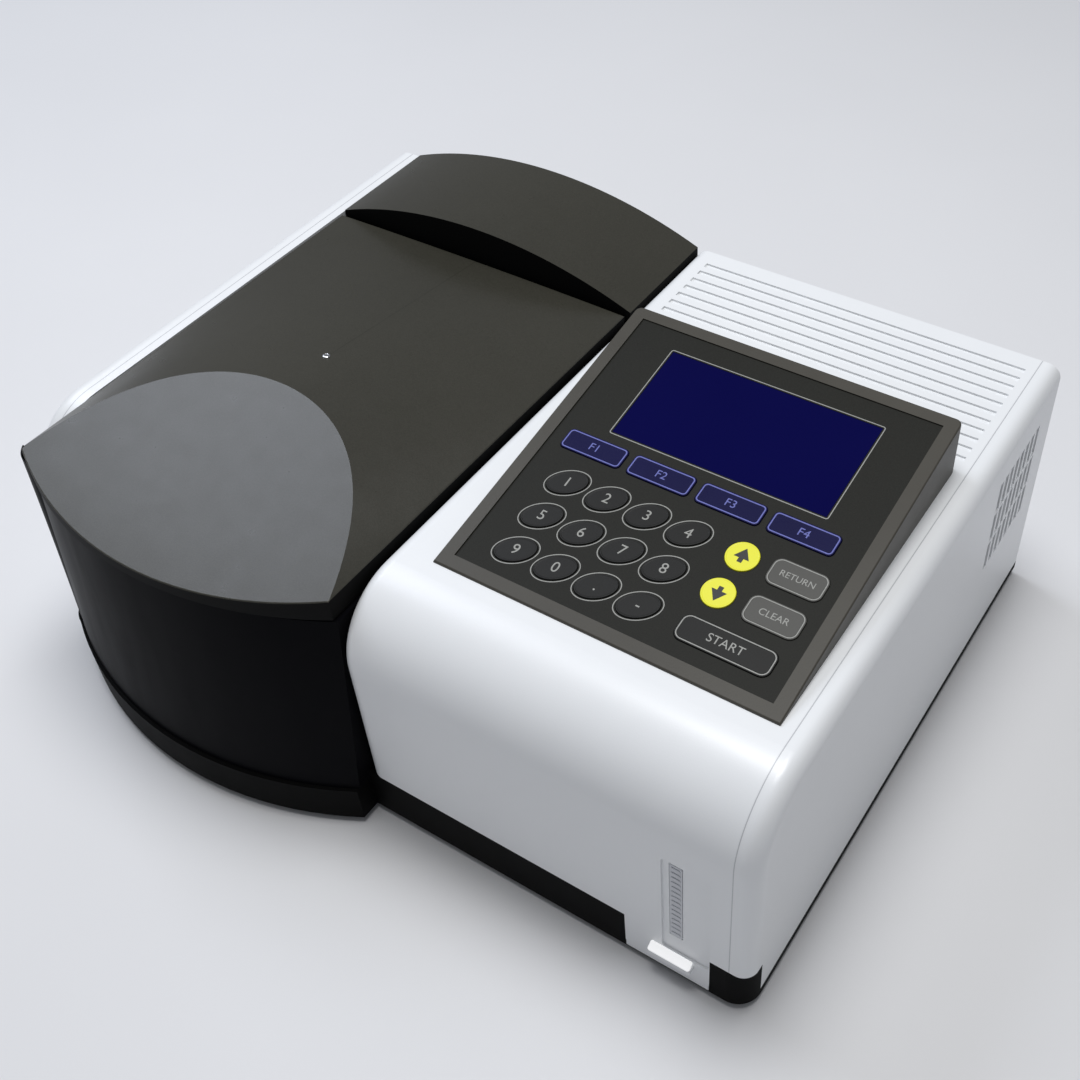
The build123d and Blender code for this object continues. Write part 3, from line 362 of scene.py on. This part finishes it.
def raised(shape, height):
    """Gives flat faces their thickness, upwards."""
    lifted(shape, shape.faces[:], height)
    bmesh.ops.recalc_face_normals(shape, faces=shape.faces)


def crown(shape):
    """The highest face."""
    return max(shape.faces, key=lambda face: face.calc_center_median().z)


def added(shape, other, place, finish):
    """Puts a bmesh, moved to its place, into another one."""
    spare = bpy.data.meshes.new("spare")
    bmesh.ops.transform(other, matrix=place, verts=other.verts)
    for face in other.faces:
        face.material_index = finish
    other.to_mesh(spare)
    other.free()
    shape.from_mesh(spare)
    bpy.data.meshes.remove(spare)


def piece(name, shape, finishes, body, slot, *nodes):
    """Makes a bmesh a piece that rides on a CAD body and may stand for CAD nodes."""
    mesh = bpy.data.meshes.new(name)
    shape.to_mesh(mesh)
    shape.free()
    for finish in finishes:
        mesh.materials.append(finish)
    made = bpy.data.objects.new(name, mesh)
    bpy.context.scene.collection.objects.link(made)
    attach(made, body)
    if nodes:
        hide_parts(*nodes)


INK = Coat("print_light", (0.30, 0.30, 0.28), 0.5)
INK.tint(INK.noise(900.0, 3.0), (0.20, 0.20, 0.185), (0.38, 0.38, 0.35))
INK.relief(INK.noise(2000.0), 0.00002)

COLUMNS = [34.8 + 24.9 * i for i in range(4)]       # digit keys, across the panel in mm
ROWS = [74.9, 50.25, 25.6]                          # key rows, up its slope in mm
OVAL_TURN = 32.0                # degrees that the oval keys lean
LINE_W = 0.55                   # printed lines, in mm
prints = bmesh.new()
rings = [(102.0, 149.0, (132.6, 68.6, 1.6))]        # round the screen
for s in ROWS:
    for x in COLUMNS:
        rings.append((x, s, (26.2, 17.4, None, OVAL_TURN)))
for x, s, form in rings:
    ring = outline(*form)
    middle = ring.faces[:][0]
    step(ring, middle, LINE_W, 0.0)
    bmesh.ops.delete(ring, geom=[middle], context="FACES_ONLY")
    raised(ring, INK_T)
    added(prints, ring, PANEL @ Matrix.Translation((x * MM, s * MM, FILM_TOP)), 0)
piece("panel_lines", prints, [INK.material], "chassis", "fascia_print")

# ------------------------------------------------------------------ grip of the right front
# A ribbed strip of softer light-grey plastic, pressed in the groove of the finger recess.
# Fifteen low ribs with rounded corners run across it, evenly spaced.
RIBS = 15
RIB_PITCH = 4.4                 # in mm
STRIP_T = 0.7 * MM
STRIP = moulded("strip_grey", (0.58, 0.59, 0.62), (0.66, 0.67, 0.70), 0.5, 0.1, 1200, 0.00004)
strip = outline(7.2, 67.2, 1.4)
raised(strip, STRIP_T)
for i in range(RIBS):
    rib = outline(5.4, 2.2, 0.9)
    raised(rib, 0.35 * MM)
    step(rib, crown(rib), 0.3, 0.2)
    rib_y = RIB_PITCH * (i - (RIBS - 1) / 2) * MM
    added(strip, rib, Matrix.Translation((0, rib_y, STRIP_T)), 0)
strip_place = Matrix.Translation((0.206, -0.1626, 0.075)) @ Matrix.Rotation(radians(90), 4, "X")
bmesh.ops.transform(strip, matrix=strip_place, verts=strip.verts)
piece("grip_strip", strip, [STRIP], "chassis", "casing_white")

# ------------------------------------------------------------------ slip on the tab, with a painted glow
# A milky slip with a sloping face, clipped on the ledge below the recess. It glows a
# little: a painted highlight for the ledge, which the casing shades from the lamp above.
# Its emission is a painted highlight, not a lamp.
SLIP_PAINTED_GLOW = moulded(
    "slip_white_painted_glow", (0.90, 0.90, 0.90), (0.95, 0.95, 0.95), 0.25, 0.08, 1200, 0.00002,
    Emission_Color=(1, 1, 1, 1), Emission_Strength=0.5,
)
SLIP_SLOPE = atan2(0.6, 0.8)
slip = outline(25.0, 5.4, 1.0)
raised(slip, 0.8 * MM)
for inward, rise in ((0.25, 0.2), (0.35, 0.1)):
    step(slip, crown(slip), inward, rise)
slip_place = Matrix.Translation((0.204, -0.1664, 0.0244)) @ Matrix.Rotation(SLIP_SLOPE, 4, "X")
bmesh.ops.transform(slip, matrix=slip_place, verts=slip.verts)
piece("slip_painted_glow", slip, [SLIP_PAINTED_GLOW], "chassis", "casing_white")

# ------------------------------------------------------------------ stud in the lid
# A small turned steel stud in the middle of the lid, with a rounded head and a shallow
# dimple in it. It is pressed in from above and stands square to the lid's slope.
LID_SLOPE = atan2(0.128, 1)
stud = outline(4.8, 4.8, None)
raised(stud, 0.5 * MM)
for inward, rise in ((0.15, 0.25), (0.35, 0.2), (0.5, 0.12), (0.25, -0.1)):
    step(stud, crown(stud), inward, rise)
stud_place = Matrix.Translation((-0.116, -0.0235, 0.1946)) @ Matrix.Rotation(-LID_SLOPE, 4, "X")
bmesh.ops.transform(stud, matrix=stud_place, verts=stud.verts)
piece("lid_stud", stud, [STEEL.material], "lid_body", "steel_bright")

# ------------------------------------------------------------------ screen
# Deep blue graphic display under a thin glass that is let into the fascia; unlit, its
# dot matrix only shows close up.
SCREEN = Coat("screen_glass", (0.001, 0.001, 0.05), 0.12, Specular_IOR_Level=0.1)
dots = SCREEN.node("ShaderNodeTexBrick", {"offset": 0.0}, {
    "Vector": SCREEN.spot, "Scale": 1000.0, "Mortar Size": 0.05,
    "Brick Width": 0.5, "Row Height": 0.5,
}, "Fac")
SCREEN.tint(dots * 0.35 + SCREEN.noise(12.0) * 0.3, (0.001, 0.001, 0.042), (0.004, 0.004, 0.075))
SCREEN.feed("Roughness", SCREEN.noise(30.0, 5.0) * 0.10 + 0.06)
dress(SCREEN.material, "display_window")

# ------------------------------------------------------------------ keys
# Single moulded caps with a rounded edge, a printed line round the top and a shallow
# dish; a flange holds each one under the film, and its legend is printed in the dish.
KEY_DARK = moulded(
    "key_dark", (0.010, 0.010, 0.010), (0.020, 0.020, 0.018), 0.45, 0.1, 1500, 0.00003,
    Specular_IOR_Level=0.15,
)
KEY_NAVY = moulded(
    "key_navy", (0.001, 0.001, 0.030), (0.003, 0.003, 0.060), 0.42, 0.1, 1500, 0.00003,
    Specular_IOR_Level=0.12,
)
KEY_YELLOW = moulded(
    "key_yellow", (0.72, 0.70, 0.010), (0.84, 0.82, 0.03), 0.42, 0.1, 1500, 0.00003
)
KEY_GREY = moulded(
    "key_grey", (0.055, 0.054, 0.048), (0.085, 0.083, 0.075), 0.45, 0.1, 1500, 0.00003,
    Specular_IOR_Level=0.3,
)
INK_BLUE = Coat("print_blue", (0.10, 0.11, 0.40), 0.5)
INK_BLUE.tint(INK_BLUE.noise(900.0, 3.0), (0.07, 0.08, 0.32), (0.15, 0.17, 0.50))
INK_BLACK = Coat("print_black", (0.006, 0.006, 0.005), 0.5)
INK_BLACK.tint(INK_BLACK.noise(900.0, 3.0), (0.003, 0.003, 0.003), (0.010, 0.010, 0.009))

FLANGE = -3.4                   # underside of a key's flange, from the rim, in mm
FLANGE_W = 1.0                  # how far it stands out all round
FLANGE_T = 0.8
SHOULDER = -0.35                # where the rounded edge of the top begins
EDGE = ((0.08, 0.18), (0.12, 0.12), (0.18, 0.05))   # that edge, inwards and up
MARGIN = 0.35                   # plain land inside it
DISH = 0.12                     # depth of the dish
DISH_WALL = 0.4                 # width of its sloping wall


def cap(width, height, corner, turn, line):
    """A key cap; line is how wide the printed line round its top is, or 0 for none."""
    wider = None if corner is None else corner + FLANGE_W
    shape = outline(width + 2 * FLANGE_W, height + 2 * FLANGE_W, wider, turn)
    bmesh.ops.translate(shape, vec=(0, 0, FLANGE * MM), verts=shape.verts)
    top = lifted(shape, shape.faces[:], FLANGE_T * MM, keep=True)[0]
    step(shape, top, FLANGE_W, 0.0)
    top = lifted(shape, [top], (SHOULDER - FLANGE - FLANGE_T) * MM)[0]
    for inward, rise in EDGE:
        step(shape, top, inward, rise)
    step(shape, top, MARGIN, 0.0)
    if line:
        step(shape, top, line, 0.0, 1)
    step(shape, top, DISH_WALL, -DISH)
    bmesh.ops.recalc_face_normals(shape, faces=shape.faces)
    return shape


def lettering(text, height):
    """A legend as flat faces, centred on the origin."""
    words = bpy.data.curves.new("legend", "FONT")
    words.body = text
    words.size = height * MM
    words.align_x = "CENTER"
    words.align_y = "CENTER"
    carrier = bpy.data.objects.new("legend", words)
    flat = bmesh.new()
    flat.from_mesh(bpy.data.meshes.new_from_object(carrier))
    bmesh.ops.remove_doubles(flat, verts=flat.verts, dist=1e-6)
    bpy.data.objects.remove(carrier)
    return flat


def arrowhead(turn):
    """A filled arrow, upright unless turned, as on the scroll keys."""
    flat = bmesh.new()
    head = bmesh.ops.create_circle(flat, cap_ends=True, segments=3, radius=4.4 * MM)["verts"]
    bmesh.ops.scale(flat, vec=(1.15, 1.0, 1), verts=head)
    bmesh.ops.translate(flat, vec=(0, 0.9 * MM, 0), verts=head)
    stem = bmesh.ops.create_grid(flat, x_segments=1, y_segments=1, size=1.35 * MM)["verts"]
    bmesh.ops.translate(flat, vec=(0, -2.6 * MM, 0), verts=stem)
    bmesh.ops.rotate(flat, matrix=Matrix.Rotation(radians(turn), 3, "Z"), verts=flat.verts)
    return flat


def key(name, x, s, form, line, legend, finish, ink, slot):
    """Makes one key; form is the width, height, corner and turn of its top."""
    shape = cap(*form, line)
    raised(legend, INK_T)
    added(shape, legend, Matrix.Translation((0, 0, -DISH * MM)), 1)
    place = PANEL @ Matrix.Translation((x * MM, s * MM, 0))
    bmesh.ops.transform(shape, matrix=place, verts=shape.verts)
    piece(f"{name}_moulding", shape, [finish, ink.material], f"{name}_cap", slot, name)


BAR = (38, 14, 3, 0)            # the five kinds of top: width, height, corner, turn
OVAL = (23, 15, None, OVAL_TURN)
ROUND = (18, 18, None, 0)
PLATE = (31, 17, 5, 0)
WIDE = (53, 16, 5, 0)
BAR_X, BAR_PITCH, BAR_S = 35.1, 42.2, 101.4     # the function keys' row on the panel, in mm
ROUND_X, PLATE_X, WIDE_X = 141.0, 172.0, 159.0  # the other keys, across the panel

for i in range(4):
    legend = lettering(f"F{i + 1}", 7.0)
    x = BAR_X + BAR_PITCH * i
    key(f"key_f{i + 1}", x, BAR_S, BAR, 0.7, legend, KEY_NAVY, INK_BLUE, "key_navy")

digits = (("1", "2", "3", "4"), ("5", "6", "7", "8"), ("9", "0", "point", "minus"))
signs = {"point": ".", "minus": "-"}
for row, s in zip(digits, ROWS):
    for digit, x in zip(row, COLUMNS):
        legend = lettering(signs.get(digit, digit), 9.0)
        key(f"key_{digit}", x, s, OVAL, 0, legend, KEY_DARK, INK, "key_dark")

for way, s, turned in (("up", ROWS[0], 0), ("down", ROWS[1], 180)):
    key(f"key_{way}", ROUND_X, s, ROUND, 0, arrowhead(turned), KEY_YELLOW, INK_BLACK, "key_yellow")

for word, s, letter in (("return", ROWS[0], 5.2), ("clear", ROWS[1], 5.6)):
    legend = lettering(word.upper(), letter)
    key(f"key_{word}", PLATE_X, s, PLATE, 0.5, legend, KEY_GREY, INK, "key_grey")

legend = lettering("START", 7.0)
key("key_start", WIDE_X, ROWS[2], WIDE, 0.6, legend, KEY_DARK, INK, "key_dark")

# ------------------------------------------------------------------ stage
# A pale paper floor, a softbox at the left for the broad sheen on the lid, one overhead,
# and the camera that looks down from the front right.
PAPER = Coat("floor_pale", (0.74, 0.74, 0.75), 0.7)
PAPER.tint(PAPER.noise(3.0), (0.72, 0.72, 0.73), (0.77, 0.77, 0.78))
sheet = bmesh.new()
bmesh.ops.create_grid(sheet, x_segments=1, y_segments=1, size=6.0)
floor_mesh = bpy.data.meshes.new("floor")
sheet.to_mesh(floor_mesh)
sheet.free()
floor_mesh.materials.append(PAPER.material)
floor = bpy.data.objects.new("floor", floor_mesh)
bpy.context.scene.collection.objects.link(floor)

world = bpy.data.worlds.new("studio")
world.use_nodes = True
sky = world.node_tree.nodes["Background"].inputs
sky["Color"].default_value = (0.86, 0.89, 0.95, 1)
sky["Strength"].default_value = 0.24
bpy.context.scene.world = world
bpy.context.scene.view_settings.view_transform = "Standard"


def softbox(name, place, aim, width, height, power, colour=(1, 1, 1)):
    """A large diffused lamp at a place, turned towards a point."""
    lamp = bpy.data.lights.new(name, "AREA")
    lamp.color = colour
    lamp.shape = "RECTANGLE"
    lamp.size = width
    lamp.size_y = height
    lamp.energy = power
    box = bpy.data.objects.new(name, lamp)
    box.matrix_world = Matrix.Translation(place) @ (
        (Vector(aim) - Vector(place)).to_track_quat("-Z", "Y").to_matrix().to_4x4()
    )
    bpy.context.scene.collection.objects.link(box)


softbox("left", (-1.55, 0.32, 1.95), (-0.08, 0, 0.15), 1.1, 1.2, 19, (0.88, 0.94, 1.06))
softbox("overhead", (0.1, 0.1, 2.3), (0, 0, 0.15), 1.0, 1.0, 33)

AZIMUTH = radians(34.10)
ELEVATION = radians(44.99)
ROLL = radians(-2.37)
forward = Vector((
    -sin(AZIMUTH) * cos(ELEVATION), cos(AZIMUTH) * cos(ELEVATION), -sin(ELEVATION),
))
level = Vector((cos(AZIMUTH), sin(AZIMUTH), 0))
upright = level.cross(forward)
right = level * cos(ROLL) + upright * sin(ROLL)
up = upright * cos(ROLL) - level * sin(ROLL)
view = Matrix((right, up, -forward)).transposed().to_4x4()
lens = bpy.data.cameras.new("camera")
lens.sensor_width = 36.0
lens.lens = 46.48
lens.shift_x = -0.0801
lens.shift_y = -0.0159
camera = bpy.data.objects.new("camera", lens)
camera.matrix_world = Matrix.Translation((0.3913, -0.4668, 0.6979)) @ view
bpy.context.scene.collection.objects.link(camera)
bpy.context.scene.camera = camera
